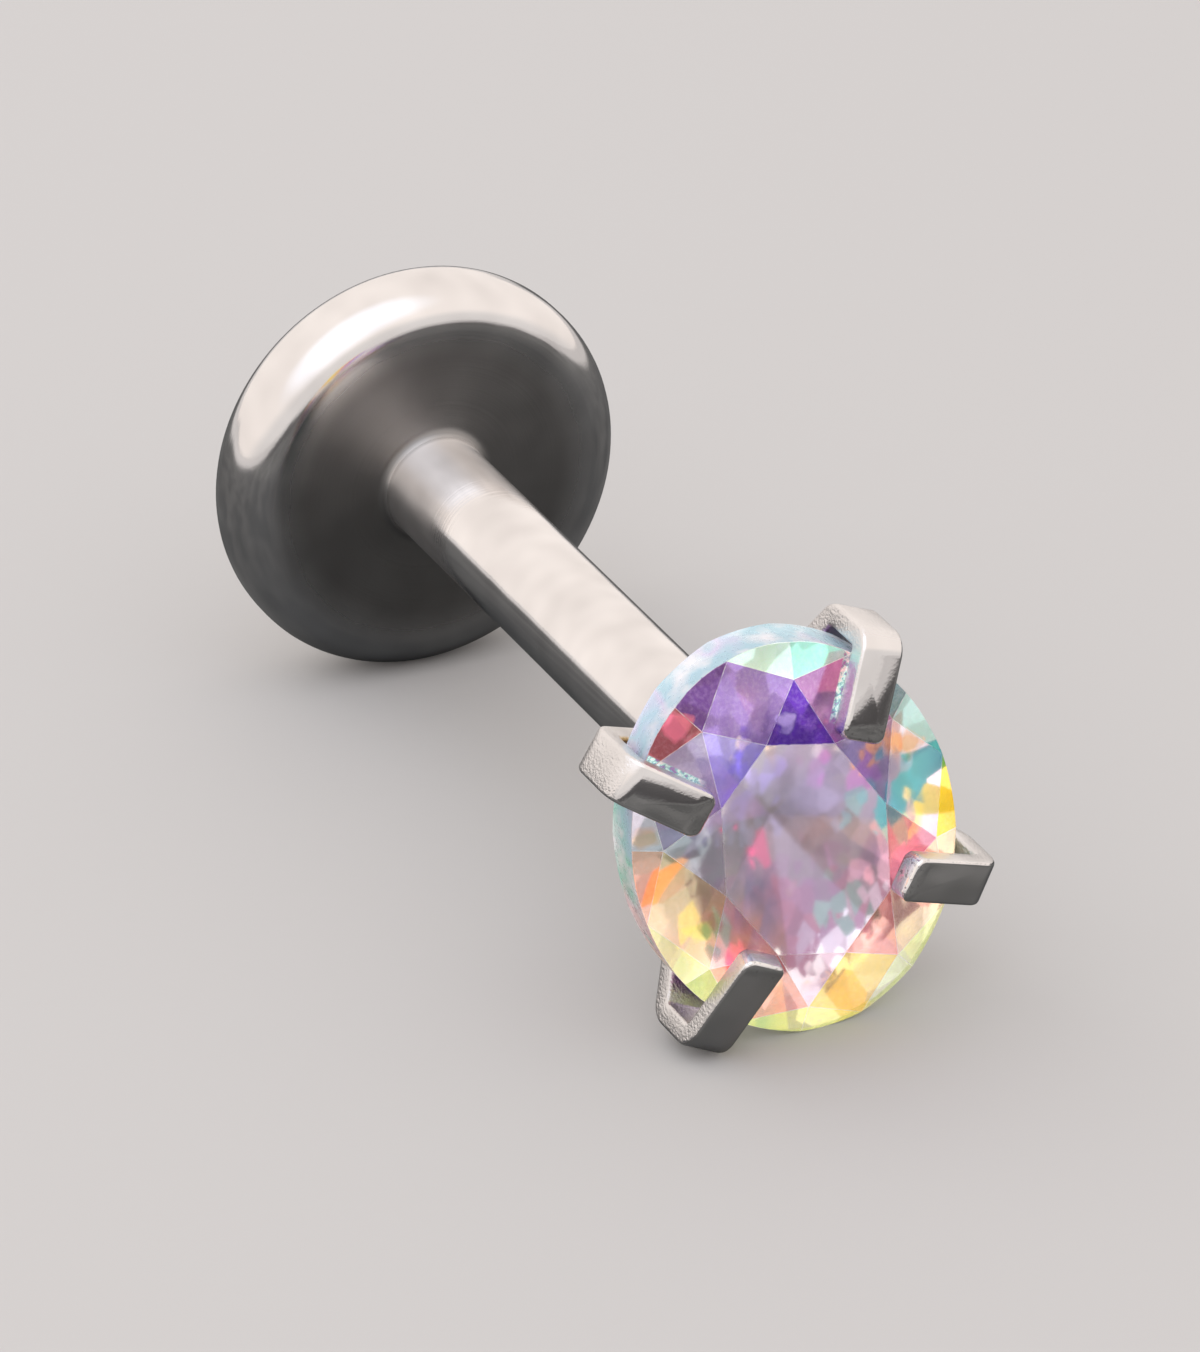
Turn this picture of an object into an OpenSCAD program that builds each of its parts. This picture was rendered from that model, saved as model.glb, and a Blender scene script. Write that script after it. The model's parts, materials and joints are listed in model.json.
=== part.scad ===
// A flat back stud for a piercing: a polished disc on a straight post, and a
// push-in head whose four claws hold an oval stone. It lies on its side, as it
// would on a table, on the rim of the disc, one knuckle and the stone's end.
// Millimetres. +X runs along the post to the stone, +Z is up. The origin is on
// the table, under the middle of the whole stud.

/* [Flat back] */
// Diameter of the disc that lies behind the skin
disc_d = 3.9; // [3:0.1:5]
// Thickness of the disc
disc_t = 0.9; // [0.85:0.05:1.2]
// Rounding of the disc's rim, front and back
rim_r = 0.4; // [0.1:0.05:0.4]

/* [Post] */
// Diameter of the post
post_d = 1; // [0.9:0.1:1.3]
// Length of post between the disc and the head
post_len = 6; // [5:0.5:12]
// Diameter of the head's hidden pin
pin_d = 0.6; // [0.5:0.05:0.7]
// Length of the head's hidden pin
pin_len = 1.8; // [1:0.1:2.5]

/* [Stone] */
// Length of the oval stone
stone_l = 4; // [3.8:0.1:4.2]
// Width of the oval stone
stone_w = 3; // [2.8:0.1:3.2]
// Height of the band round the stone's widest part
girdle_t = 0.38; // [0.2:0.02:0.4]
// Height of the crown above the girdle
crown_h = 0.21; // [0.18:0.01:0.34]
// Depth of the pointed back below the girdle
pavilion_h = 0.82; // [0.6:0.02:0.84]
// Length of the flat table as a share of the stone's
table_l_share = 0.59; // [0.5:0.01:0.65]
// Width of the flat table as a share of the stone's
table_w_share = 0.54; // [0.5:0.01:0.65]

/* [Setting] */
// Width of a claw
claw_w = 0.42; // [0.3:0.02:0.5]
// Thickness of a claw
claw_t = 0.2; // [0.15:0.01:0.22]
// Diameter of the round base that the claws grow from
base_d = 1.7; // [1.4:0.1:1.9]
// Turn of the head about the post, which sets how the stud lies
head_turn = 19.5; // [15:0.5:25]

/* [Hidden] */

// Clearances: between head and post, pin and bore, stone and claws
seat_gap = 0.02;
bore_gap = 0.02;
stone_gap = 0.035;

// Small roundings of the turned back: the root of the post and its end
root_r = 0.1;
post_edge = 0.05;
bore_d = pin_d + 2 * bore_gap;
bore_spare = 0.2;
bore_len = pin_len + bore_spare;

// Where the head sits along the post, measured from the disc's outer face
base_t = 0.3;
hollow_r = 0.4;
hollow_floor_r = 0.1;
base_back = disc_t + post_len + seat_gap;
head_depth = 1.4;
girdle_z = base_back + head_depth;

// Facets: eight round the table, sixteen round the girdle
sides = 8;
facet_turn = 360 / sides;
half_turn = facet_turn / 2;
star_share = 0.84;
lower_share = 0.25;
girdle_steps = 4;
girdle_n = 2 * sides * girdle_steps;
lower_h = pavilion_h * (1 - lower_share * cos(half_turn));

// One row for each claw, as bent over the stone by hand.
// Columns: direction from the stone's long axis, distance from the post's axis
// to the tip, and to the outside of the knuckle
claws = [
    [46, 0.96, 2.04],
    [138, 1.1, 2.03],
    [219, 1.18, 2.06],
    [314, 1.0, 2.07],
];
claw_turn = 0;
claw_reach = 1;
claw_knuckle = 2;

// Shape of a claw seen from its side: distance from the axis and height above
// the girdle's front edge of each bend, on the middle of the strip
claw_root_r = 0.6;
elbow_z = -0.46;
bend_r = 0.13;
bend_steps = 6;
tip_r = 0.09;

// The stud's place on the table: it lies on the disc's rim and the oval's end
stone_low = norm([stone_l / 2 * cos(head_turn), stone_w / 2 * sin(head_turn)]);
rest_h = max(disc_d / 2, stone_low);
front_z = girdle_z + crown_h + claw_t + stone_gap;
middle_z = front_z / 2;

// Radius of the oval in one direction from its long axis
function oval_r(turn) = 1 / sqrt(pow(cos(turn) / (stone_l / 2), 2) + pow(sin(turn) / (stone_w / 2), 2));

// The facets are set out on a round stone of radius 1, which is then stretched
// to the oval: that keeps every facet flat
function round_point(turn) = [cos(turn), sin(turn)];
function stretch(p, z) = [p[0] * stone_l / 2, p[1] * stone_w / 2, z];
function table_point(turn) = [table_l_share * cos(turn), table_w_share * sin(turn)];

// A kite facet leans on the girdle at its own turn and reaches the table's
// corner: its rise for each unit towards the middle
function kite_rise(turn) = crown_h / (1 - table_point(turn) * round_point(turn));

// A star facet's outer point lies on the two kites beside it
function star_point(turn) =
    let (
        before = turn - half_turn,
        after = turn + half_turn,
        across = kite_rise(before) * round_point(before) - kite_rise(after) * round_point(after),
        guess = star_share * round_point(turn)
    )
    guess + across * (kite_rise(before) - kite_rise(after) - guess * across) / (across * across);
function star_h(turn) =
    let (before = turn - half_turn)
    kite_rise(before) * (1 - star_point(turn) * round_point(before));

// A flat facet that rises to height h at its apex dips below the girdle's edge
// between the two ends where it leans on it
function edge_dip(turn, apex, h) =
    let (
        part = floor(turn / half_turn),
        a = round_point(part * half_turn),
        b = round_point((part + 1) * half_turn)
    )
    h * cross(b - a, round_point(turn) - a) / cross(b - a, apex - a);
function apex_turn(turn) = (floor(turn / facet_turn) + 0.5) * facet_turn;

// The rounded path of a strip: each bend in the list becomes an arc, and each
// point of it carries the direction that faces away from the stone
function unit(v) = v / norm(v);
function outward(v) = [v[1], -v[0]];
function bend_arc(before, corner, after, r) =
    let (
        a = unit(corner - before),
        b = unit(after - corner),
        turn = acos(a * b),
        start = atan2(outward(a)[1], outward(a)[0]),
        centre = corner - unit(outward(a) + outward(b)) * r / cos(turn / 2)
    )
    [for (i = [0:bend_steps])
        let (w = start + turn * i / bend_steps, out = [cos(w), sin(w)])
        [centre + r * out, out]];
function strip_path(route, r) =
    let (last = len(route) - 1)
    concat(
        [[route[0], outward(unit(route[1] - route[0]))]],
        [for (k = [1:last - 1]) each bend_arc(route[k - 1], route[k], route[k + 1], r)],
        [[route[last], outward(unit(route[last] - route[last - 1]))]]
    );

// The disc and the post, turned from one bar, with a bore for the head's pin
module flat_back_post() {
    color([0.8, 0.8, 0.81])
        difference() {
            rotate_extrude($fn = 96)
                back_outline();
            translate([0, 0, disc_t + post_len - bore_len])
                cylinder(d = bore_d, h = bore_len + seat_gap, $fn = 48);
        }
}

module back_outline() {
    rim_x = disc_d / 2 - rim_r;
    square([rim_x, disc_t]);
    translate([0, rim_r])
        square([disc_d / 2, disc_t - 2 * rim_r]);
    for (z = [rim_r, disc_t - rim_r])
        translate([rim_x, z])
            circle(r = rim_r, $fn = 64);
    square([post_d / 2 - post_edge, disc_t + post_len]);
    square([post_d / 2, disc_t + post_len - post_edge]);
    translate([post_d / 2, disc_t])
        difference() {
            square(root_r);
            translate([root_r, root_r])
                circle(r = root_r, $fn = 32);
        }
}

// The head's base, its hidden pin and its four claws, soldered into one piece
module claw_setting() {
    color([0.84, 0.83, 0.82])
        difference() {
            union() {
                translate([0, 0, base_back])
                    cylinder(d = base_d, h = base_t, $fn = 64);
                translate([0, 0, base_back - pin_len])
                    cylinder(d = pin_d, h = pin_len + base_t / 2, $fn = 48);
                translate([0, 0, girdle_z])
                    rotate(head_turn)
                        for (claw = claws)
                            rotate(claw[claw_turn])
                                claw(oval_r(claw[claw_turn]), claw[claw_reach], claw[claw_knuckle]);
            }
            // A hollow in the base, clear of the stone's point
            translate([0, 0, base_back + base_t / 2])
                cylinder(r1 = hollow_floor_r, r2 = hollow_r, h = base_t / 2 + seat_gap, $fn = 48);
        }
}

// One claw, bent from flat strip: out from the base, up past the girdle, and
// over the crown at the slope of the facet that it holds
module claw(girdle_r, reach, knuckle_r) {
    slope = atan(kite_rise(facet_turn) / girdle_r);
    lift = stone_gap + claw_t / 2;
    over_r = girdle_r + lift * sin(slope);
    over_z = lift * cos(slope);
    middle_r = knuckle_r - claw_t / 2;
    route = [
        [claw_root_r, base_t / 2 - head_depth],
        [middle_r, elbow_z],
        [middle_r, over_z - (middle_r - over_r) * tan(slope)],
        [reach, over_z + (over_r - reach) * tan(slope)],
    ];
    path = strip_path(route, bend_r);
    outside = [for (p = path) p[0] + p[1] * claw_t / 2];
    inside = [for (k = [len(path) - 1:-1:0]) path[k][0] - path[k][1] * claw_t / 2];
    intersection() {
        rotate([90, 0, 0])
            translate([0, 0, -claw_w / 2])
                linear_extrude(claw_w)
                    polygon(concat(outside, inside));
        translate([0, 0, -head_depth])
            linear_extrude(2 * head_depth)
                claw_plan(reach, knuckle_r + claw_t - reach);
    }
}

// A claw seen from the front: a band whose tip has rounded corners
module claw_plan(reach, band_l) {
    translate([reach, 0]) {
        translate([tip_r, -claw_w / 2])
            square([band_l - tip_r, claw_w]);
        translate([0, tip_r - claw_w / 2])
            square([band_l, claw_w - 2 * tip_r]);
        for (side = [-1, 1])
            translate([tip_r, side * (claw_w / 2 - tip_r)])
                circle(r = tip_r, $fn = 32);
    }
    translate([0, -claw_w / 2])
        square([claw_root_r + base_d / 2, claw_w]);
}

// The oval stone, cut as a stretched round brilliant
module oval_stone() {
    color([0.72, 0.86, 0.9])
        translate([0, 0, girdle_z])
            rotate(head_turn)
                brilliant();
}

module brilliant() {
    corners = [for (k = [0:sides - 1]) k * facet_turn];
    middles = [for (k = [0:sides - 1]) (k + 0.5) * facet_turn];
    around = [for (i = [0:girdle_n - 1]) 360 * i / girdle_n];

    table = [for (turn = corners) stretch(table_point(turn), crown_h)];
    stars = [for (turn = middles) stretch(star_point(turn), star_h(turn))];
    top_edge = [for (turn = around)
        let (apex = apex_turn(turn))
        stretch(round_point(turn), edge_dip(turn, star_point(apex), star_h(apex)))];
    low_edge = [for (turn = around)
        let (apex = lower_share * round_point(apex_turn(turn)))
        stretch(round_point(turn), -girdle_t - edge_dip(turn, apex, lower_h))];
    lowers = [for (turn = middles) stretch(lower_share * round_point(turn), -girdle_t - lower_h)];
    culet = [[0, 0, -girdle_t - pavilion_h]];

    // Where each ring starts in the list of points
    star_at = sides;
    top_at = star_at + sides;
    low_at = top_at + girdle_n;
    lower_at = low_at + girdle_n;
    culet_at = lower_at + sides;

    table_face = [[for (k = [sides - 1:-1:0]) k]];
    star_faces = [for (k = [0:sides - 1]) [k, (k + 1) % sides, star_at + k]];
    kite_faces = [for (k = [0:sides - 1])
        [k, star_at + k, top_at + 2 * girdle_steps * k, star_at + (k + sides - 1) % sides]];
    upper_faces = [for (m = [0:2 * sides - 1])
        concat([star_at + floor(m / 2)],
            [for (i = [girdle_steps:-1:0]) top_at + (girdle_steps * m + i) % girdle_n])];
    girdle_faces = [for (i = [0:girdle_n - 1])
        let (next = (i + 1) % girdle_n)
        [top_at + i, top_at + next, low_at + next, low_at + i]];
    lower_faces = [for (m = [0:2 * sides - 1])
        concat([lower_at + floor(m / 2)],
            [for (i = [0:girdle_steps]) low_at + (girdle_steps * m + i) % girdle_n])];
    main_faces = [for (k = [0:sides - 1])
        [culet_at, lower_at + (k + sides - 1) % sides, low_at + 2 * girdle_steps * k, lower_at + k]];

    polyhedron(
        points = concat(table, stars, top_edge, low_edge, lowers, culet),
        faces = concat(table_face, star_faces, kite_faces, upper_faces, girdle_faces, lower_faces, main_faces)
    );
}

// Lays a piece built upright along the post's axis down on the table
module lay_down() {
    translate([-middle_z, 0, rest_h])
        rotate([0, 90, 0])
            children();
}

lay_down() flat_back_post();
lay_down() claw_setting();
lay_down() oval_stone();
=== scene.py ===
# %% [markdown]
# # A flat back stud with an oval rainbow stone
#
# This lesson builds a piercing stud about 9 mm long: a polished disc and post,
# a head with four bent claws, and an oval stone with a rainbow coating. The
# stud lies on its side on a table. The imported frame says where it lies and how
# big its back is, and the finer sizes repeat those of the part's own drawing.

# %% Load the frame
import json
import math
import random

import bmesh
import bpy
from mathutils import Matrix, Vector

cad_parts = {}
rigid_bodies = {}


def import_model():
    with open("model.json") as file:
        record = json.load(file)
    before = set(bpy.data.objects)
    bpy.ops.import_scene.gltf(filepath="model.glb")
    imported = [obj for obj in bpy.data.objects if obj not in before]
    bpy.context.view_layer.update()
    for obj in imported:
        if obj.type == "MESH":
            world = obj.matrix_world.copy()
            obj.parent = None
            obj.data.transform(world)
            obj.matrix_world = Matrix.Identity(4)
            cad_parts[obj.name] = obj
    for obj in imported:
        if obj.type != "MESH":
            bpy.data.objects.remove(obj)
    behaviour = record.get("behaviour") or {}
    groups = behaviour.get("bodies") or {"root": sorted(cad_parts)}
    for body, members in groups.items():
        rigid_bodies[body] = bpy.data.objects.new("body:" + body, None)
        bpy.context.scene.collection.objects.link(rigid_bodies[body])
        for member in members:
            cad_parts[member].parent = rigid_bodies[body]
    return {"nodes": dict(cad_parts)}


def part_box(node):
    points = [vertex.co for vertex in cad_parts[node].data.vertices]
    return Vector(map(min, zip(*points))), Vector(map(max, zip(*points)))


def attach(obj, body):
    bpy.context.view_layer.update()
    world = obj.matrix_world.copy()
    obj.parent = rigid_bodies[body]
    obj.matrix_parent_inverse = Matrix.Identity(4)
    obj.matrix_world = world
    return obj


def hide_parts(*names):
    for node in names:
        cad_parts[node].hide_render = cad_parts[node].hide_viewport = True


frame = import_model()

for leftover in list(bpy.data.objects):
    if leftover.name in ("Cube", "Light", "Camera"):
        bpy.data.objects.remove(leftover)
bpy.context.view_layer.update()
print("pieces in the frame:", sorted(frame["nodes"]))

# %% [markdown]
# ## Where the stud lies
#
# A turner and a setter both work on a piece that stands upright, so every
# piece here is modelled upright in millimetres: the disc's outer face is at
# height 0 and the post rises along +Z. One matrix then lays it down along +X.
# Millimetres keep the numbers near 1, which suits bevels and cuts better than
# sizes of a thousandth of a metre.

# %% Sizes that come from the frame
MM = 0.001
back_low, back_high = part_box("flat_back_post")
disc_r = (back_high.y - back_low.y) / 2 / MM
axis_h = (back_high.z + back_low.z) / 2
shank_l = (back_high.x - back_low.x) / MM
LAY_DOWN = (
    Matrix.Translation((back_low.x, 0, axis_h))
    @ Matrix.Rotation(math.radians(90), 4, "Y")
    @ Matrix.Scale(MM, 4)
)
print(f"disc radius {disc_r:.2f} mm, disc and post {shank_l:.2f} mm long")
print(f"the axis lies {axis_h / MM:.3f} mm above the table")

# %% [markdown]
# ## From a bmesh to a finished piece
#
# Every piece ends in the same way. Its doubles are merged, its faces are turned
# outwards, and it is laid down. Every face is shaded smooth, and the edges that
# are marked as sharp still break the light. The piece then rides on the stud's
# one body and stands for its node.

# %% Finish a piece
SAME_POINT = 1e-5
SHARP_ANGLE = 40


def add_object(name, data):
    """Puts a mesh, a lamp or a camera into the scene."""
    made = bpy.data.objects.new(name, data)
    bpy.context.scene.collection.objects.link(made)
    return made


def as_object(bm, name):
    mesh = bpy.data.meshes.new(name)
    bm.to_mesh(mesh)
    bm.free()
    return add_object(name, mesh)


def mark_sharp(bm):
    """Edges that turn more than the sharp angle, in degrees, break the light."""
    for edge in bm.edges:
        edge.smooth = edge.calc_face_angle(0) < math.radians(SHARP_ANGLE)


def finish_piece(bm, name, node):
    bmesh.ops.remove_doubles(bm, verts=bm.verts, dist=SAME_POINT)
    bmesh.ops.recalc_face_normals(bm, faces=bm.faces)
    for face in bm.faces:
        face.smooth = True
    bmesh.ops.transform(bm, matrix=LAY_DOWN, verts=bm.verts)
    piece = as_object(bm, name)
    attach(piece, "root")
    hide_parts(node)
    print(f"{name}: {len(piece.data.polygons)} faces")
    return piece


def weigh_normals(piece):
    """Lets wide flat faces keep their own normals next to narrow rounded ones."""
    weigh = piece.modifiers.new("flat faces stay flat", "WEIGHTED_NORMAL")
    weigh.keep_sharp = True


# %% [markdown]
# ## The back: disc and post
#
# The real back is turned in a lathe from one steel bar, then polished. In
# Blender a lathe is a spin: a half outline turns round the axis. The outline
# needs only its corners. The rim's full round, the small root where the post
# leaves the disc and the softened end are bevels on the rings that the spin
# makes, as a turner breaks the edges last.

# %% Spin an outline
LATHE_STEPS = 144
SAME_CORNER = 1e-4
ON_RING = 1e-3


def spin_outline(outline):
    """Turns a half outline, as (radius, height) corners, once round the axis."""
    bm = bmesh.new()
    corners = [bm.verts.new((radius, 0, height)) for radius, height in outline]
    edges = [bm.edges.new(pair) for pair in zip(corners, corners[1:])]
    bmesh.ops.spin(
        bm, geom=corners + edges, cent=(0, 0, 0), axis=(0, 0, 1),
        angle=math.radians(360), steps=LATHE_STEPS, use_merge=True,
    )
    bmesh.ops.remove_doubles(bm, verts=bm.verts, dist=SAME_CORNER)
    bmesh.ops.recalc_face_normals(bm, faces=bm.faces)
    return bm


def bevel(bm, geom, size, segments, affect="EDGES"):
    """Rounds edges or corners evenly and returns the new faces."""
    return bmesh.ops.bevel(
        bm, geom=geom, offset=size, offset_type="OFFSET",
        affect=affect, segments=segments, profile=0.5, material=-1,
    )["faces"]


def round_ring(bm, radius, height, size, segments):
    """Bevels the edges of one ring, found by its radius and height."""
    def on_ring(vert):
        return abs(vert.co.xy.length - radius) < ON_RING and abs(vert.co.z - height) < ON_RING
    ring = [edge for edge in bm.edges if all(on_ring(vert) for vert in edge.verts)]
    bevel(bm, ring, size, segments)


# %% Turn the disc and the post
DISC_T = 0.9
RIM_R = 0.4
POST_R = 0.5
ROOT_R = 0.1
END_R = 0.05
BORE_R = 0.32
BORE_L = 2.0

bm = spin_outline([
    (0, 0),
    (disc_r, 0),
    (disc_r, DISC_T),
    (POST_R, DISC_T),
    (POST_R, shank_l),
    (BORE_R, shank_l),
    (BORE_R, shank_l - BORE_L),
    (0, shank_l - BORE_L),
])
for height in (0, DISC_T):
    round_ring(bm, disc_r, height, RIM_R, segments=12)
round_ring(bm, POST_R, DISC_T, ROOT_R, segments=5)
round_ring(bm, POST_R, shank_l, END_R, segments=4)
mark_sharp(bm)
turned_back = finish_piece(bm, "turned_back", "flat_back_post")
weigh_normals(turned_back)

# %% [markdown]
# ## The head's base and pin
#
# The base is a small turned plate. A pin on its back pushes into the post, and
# a conical hollow in its front leaves room for the stone's point. All three
# come from one more outline on the lathe.

# %% Turn the base
SEAT_GAP = 0.02
BASE_R = 0.85
BASE_T = 0.3
PIN_R = 0.3
PIN_L = 1.8
HOLLOW_R = 0.4
HOLLOW_FLOOR_R = 0.1
BASE_EDGE_R = 0.05
base_back = shank_l + SEAT_GAP

base = spin_outline([
    (0, base_back - PIN_L),
    (PIN_R, base_back - PIN_L),
    (PIN_R, base_back),
    (BASE_R, base_back),
    (BASE_R, base_back + BASE_T),
    (HOLLOW_R, base_back + BASE_T),
    (HOLLOW_FLOOR_R, base_back + BASE_T / 2),
    (0, base_back + BASE_T / 2),
])
for height in (base_back, base_back + BASE_T):
    round_ring(base, BASE_R, height, BASE_EDGE_R, segments=3)
print("base and pin:", len(base.faces), "faces")

# %% [markdown]
# ## The four claws
#
# A claw is a strip cut from sheet. The setter leads it out from the base, bends
# it up past the girdle and folds it over the crown, so that its tip lies on a
# facet. No two are bent alike, so each has a row of its own.
#
# The same order works here: a flat strip is bevelled at its bends, its tip is
# rounded with scissors, it gets its thickness, and only then are its edges
# broken.

# %% The stone's sizes, which the claws follow
STONE_A = 2.0
STONE_B = 1.5
GIRDLE_T = 0.38
CROWN_H = 0.21
PAVILION_H = 0.82
TABLE_A_SHARE = 0.59
TABLE_B_SHARE = 0.54
HEAD_TURN = 19.5
HEAD_DEPTH = 1.4
girdle_h = base_back + HEAD_DEPTH


def round_point(turn):
    """A point of the round stone of radius 1 that the oval is stretched from."""
    return Vector((math.cos(math.radians(turn)), math.sin(math.radians(turn))))


def kite_rise(turn):
    """Rise towards the middle of the kite facet that leans on the girdle at this turn."""
    corner = Vector((TABLE_A_SHARE * round_point(turn).x, TABLE_B_SHARE * round_point(turn).y))
    return CROWN_H / (1 - corner.dot(round_point(turn)))


def oval_r(turn):
    """Radius of the oval in one direction from its long axis."""
    way = round_point(turn)
    return 1 / math.hypot(way.x / STONE_A, way.y / STONE_B)


# %% One row for each claw
# Direction from the stone's long axis, distance from the post's axis to the
# tip, and to the outside of the knuckle
CLAWS = [
    (46, 0.96, 2.04),
    (138, 1.1, 2.03),
    (219, 1.18, 2.06),
    (314, 1.0, 2.07),
]
CLAW_W = 0.42
CLAW_T = 0.2
STONE_GAP = 0.035
CLAW_ROOT_R = 0.6
ELBOW_H = -0.46
BEND_R = 0.13
TIP_R = 0.09
EDGE_R = 0.035
CUT_ANGLE = 60


def claw_bends(turn, reach, knuckle_r):
    """Root, elbow, knuckle and tip on the middle of the strip, as (radius, height)."""
    slope = math.atan(kite_rise(45) / oval_r(turn))
    lift = STONE_GAP + CLAW_T / 2
    over = Vector((oval_r(turn) + lift * math.sin(slope), lift * math.cos(slope)))
    middle_r = knuckle_r - CLAW_T / 2
    return [
        Vector((CLAW_ROOT_R, BASE_T / 2 - HEAD_DEPTH)),
        Vector((middle_r, ELBOW_H)),
        Vector((middle_r, over.y - (middle_r - over.x) * math.tan(slope))),
        Vector((reach, over.y + (over.x - reach) * math.tan(slope))),
    ]


def outer_side(bends, distance):
    """The same bends, moved sideways to the strip's outer side."""
    ways = [(b - a).normalized() for a, b in zip(bends, bends[1:])]
    outs = [Vector((way.y, -way.x)) for way in ways]
    pairs = zip([outs[0]] + outs, outs + [outs[-1]])
    return [p + (a + b) * distance / (1 + a.dot(b)) for p, (a, b) in zip(bends, pairs)]


# %% Bend one claw
def bend_claw(turn, reach, knuckle_r):
    """One strip, bent, thickened and with its edges broken, and its outer bends."""
    bends = outer_side(claw_bends(turn, reach, knuckle_r), CLAW_T / 2)
    claw = bmesh.new()
    side = [claw.verts.new((p.x, -CLAW_W / 2, p.y)) for p in bends]
    edges = [claw.edges.new(pair) for pair in zip(side, side[1:])]
    wide = bmesh.ops.extrude_edge_only(claw, edges=edges)
    moved = [item for item in wide["geom"] if isinstance(item, bmesh.types.BMVert)]
    bmesh.ops.translate(claw, verts=moved, vec=(0, CLAW_W, 0))

    # The bends: an arc of radius r at a turn w starts r * tan(w / 2) before the corner
    for corner, before, after in zip(bends[1:], bends, bends[2:]):
        angle = (corner - before).angle(after - corner)
        folds = [
            edge for edge in claw.edges
            if all((v.co.xz - corner).length < SAME_CORNER for v in edge.verts)
        ]
        bevel(claw, folds, (BEND_R + CLAW_T / 2) * math.tan(angle / 2), segments=8)

    # The tip's two corners are rounded before the strip has a thickness
    corners = [v for v in claw.verts if len(v.link_edges) == 2 and v.co.z > 0]
    tip = [v for v in corners if abs(v.co.x - reach) < CLAW_T]
    bevel(claw, tip, TIP_R, segments=6, affect="VERTICES")

    # The sheet is the outer face: the strip gets its thickness inwards
    bmesh.ops.solidify(claw, geom=claw.faces[:], thickness=CLAW_T)
    bmesh.ops.recalc_face_normals(claw, faces=claw.faces)
    rim = [edge for edge in claw.edges if edge.calc_face_angle(0) > math.radians(CUT_ANGLE)]
    bevel(claw, rim, EDGE_R, segments=3)
    return claw, bends


# %% [markdown]
# ## One soldered head
#
# Base and claws are separate until the setter solders them, and from then on
# they are one piece. A Boolean union does the same: it keeps only the outer
# skin, so no claw has a hidden end inside the base.

# %% Solder the claws to the base
def claw_place(turn):
    """Where a claw that was bent along +X goes on the head."""
    turned = Matrix.Rotation(math.radians(turn + HEAD_TURN), 4, "Z")
    return Matrix.Translation((0, 0, girdle_h)) @ turned


def open_edges(bm):
    return sum(not edge.is_manifold for edge in bm.edges)


def solder(base, claws):
    """The union of two bmeshes, as a new bmesh."""
    plate, strips = as_object(base, "plate"), as_object(claws, "strips")
    joint = plate.modifiers.new("solder", "BOOLEAN")
    joint.operation = "UNION"
    joint.solver = "EXACT"
    joint.object = strips
    soldered = plate.evaluated_get(bpy.context.evaluated_depsgraph_get())
    bm = bmesh.new()
    bm.from_mesh(soldered.data)
    for part in (plate, strips):
        bpy.data.meshes.remove(part.data)
    return bm


claws = bmesh.new()
claw_outlines = []
for row in CLAWS:
    one = bpy.data.meshes.new("one claw")
    bm, bends = bend_claw(*row)
    bmesh.ops.transform(bm, matrix=claw_place(row[0]), verts=bm.verts)
    bm.to_mesh(one)
    bm.free()
    claws.from_mesh(one)
    bpy.data.meshes.remove(one)
    claw_outlines.append((claw_place(row[0]).inverted(), bends))
head = solder(base, claws)
print("soldered head:", len(head.faces), "faces,", open_edges(head), "open edges")

# %% [markdown]
# Polishing lines follow a claw and not the room, and its faces wear unlike its
# cut sides. So each point of the head keeps a vector in the claw's own terms:
# how far past the knuckle it lies, how far across, and how far from the tip.
# The way along is found on the nearest stretch between two bends. The whole
# base counts as one place, at the roots, so no strip pattern shows on it.

# %% Keep each point's place on its strip
BASE_PLACE = (-2.0, 0.0, 3.0)


def along_strip(point, bends):
    """Distance from the strip, and length of strip from its root to the nearest place."""
    best = (math.inf, 0)
    before = 0
    for a, b in zip(bends, bends[1:]):
        share = min(max((point - a).dot(b - a) / (b - a).length_squared, 0), 1)
        best = min(best, ((a.lerp(b, share) - point).length, before + share * (b - a).length))
        before += (b - a).length
    return best


def strip_place(point):
    """The place of one point on the claw that it belongs to."""
    if point.z < base_back + BASE_T + EDGE_R and point.xy.length < BASE_R + EDGE_R:
        return BASE_PLACE
    found = []
    for to_claw, bends in claw_outlines:
        own = to_claw @ point
        off, along = along_strip(own.xz, bends)
        stretches = [(b - a).length for a, b in zip(bends, bends[1:])]
        knuckle, whole = sum(stretches[:2]), sum(stretches)
        found.append((off + abs(own.y), (along - knuckle, own.y, whole - along)))
    return min(found)[1]


strip = head.verts.layers.float_vector.new("strip")
for vert in head.verts:
    vert[strip] = strip_place(vert.co)
past = [vert[strip].x for vert in head.verts]
print(f"the strips run from {min(past):.2f} to {max(past):.2f} mm past their knuckles")
mark_sharp(head)
claw_head = finish_piece(head, "claw_head", "claw_setting")
weigh_normals(claw_head)

# %% [markdown]
# ## The oval stone
#
# A cutter shapes the girdle first and then grinds one flat facet after another,
# each at its own angle and turn. The same works in Blender: an oval drum is cut
# by one plane for each facet. The cut is an oval brilliant with 8 kites, 8
# stars and 16 upper facets round the table in front, and 16 lower facets and 8
# mains that meet in a point behind.
#
# The facets are set out on a round stone of radius 1 and stretched to the oval,
# as in the source of the part, so every plane here is one of its planes.

# %% Set out the facets
SIDES = 8
FACET_TURN = 360 / SIDES
STAR_SHARE = 0.84
LOWER_SHARE = 0.25


def stretched(p, height):
    return Vector((p.x * STONE_A, p.y * STONE_B, height))


def table_corner(turn):
    p = round_point(turn)
    return Vector((TABLE_A_SHARE * p.x * STONE_A, TABLE_B_SHARE * p.y * STONE_B, CROWN_H))


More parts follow.
